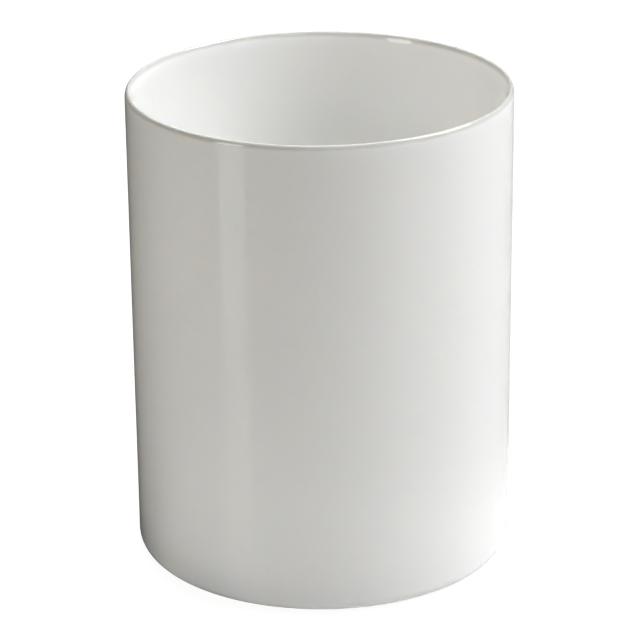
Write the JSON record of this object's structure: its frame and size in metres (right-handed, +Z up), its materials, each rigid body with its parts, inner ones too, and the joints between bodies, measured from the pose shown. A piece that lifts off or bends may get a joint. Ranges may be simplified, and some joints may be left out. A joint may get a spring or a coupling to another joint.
{
  "type": "pen holder cup",
  "caption": "Straight-sided round cup of glazed porcelain, open at the top, that stands pens on a desk; soft grip pads sit in a recess inside its foot ring.",
  "frame": {"origin": "centre of the base, on the surface that the grip pads rest on", "axes": "+Z up along the cup's axis, towards its open mouth; -Y is the front, +X is to the right seen from the front"},
  "size_m": [0.0786, 0.0786, 0.1],
  "materials": {
    "glazed_porcelain": "high-gloss white glaze inside and out, bare matt porcelain on the foot ring's land",
    "silicone": "milky translucent silicone, satin",
    "adhesive_film": "matt double-sided acrylic film"
  },
  "bodies": {
    "root": {"cup_body": "glazed_porcelain", "grip_pad_front_left": "silicone", "grip_pad_front_right": "silicone", "grip_pad_back_right": "silicone", "grip_pad_back_left": "silicone", "pad_adhesive_front_left": "adhesive_film", "pad_adhesive_front_right": "adhesive_film", "pad_adhesive_back_right": "adhesive_film", "pad_adhesive_back_left": "adhesive_film"}
  },
  "joints": []
}
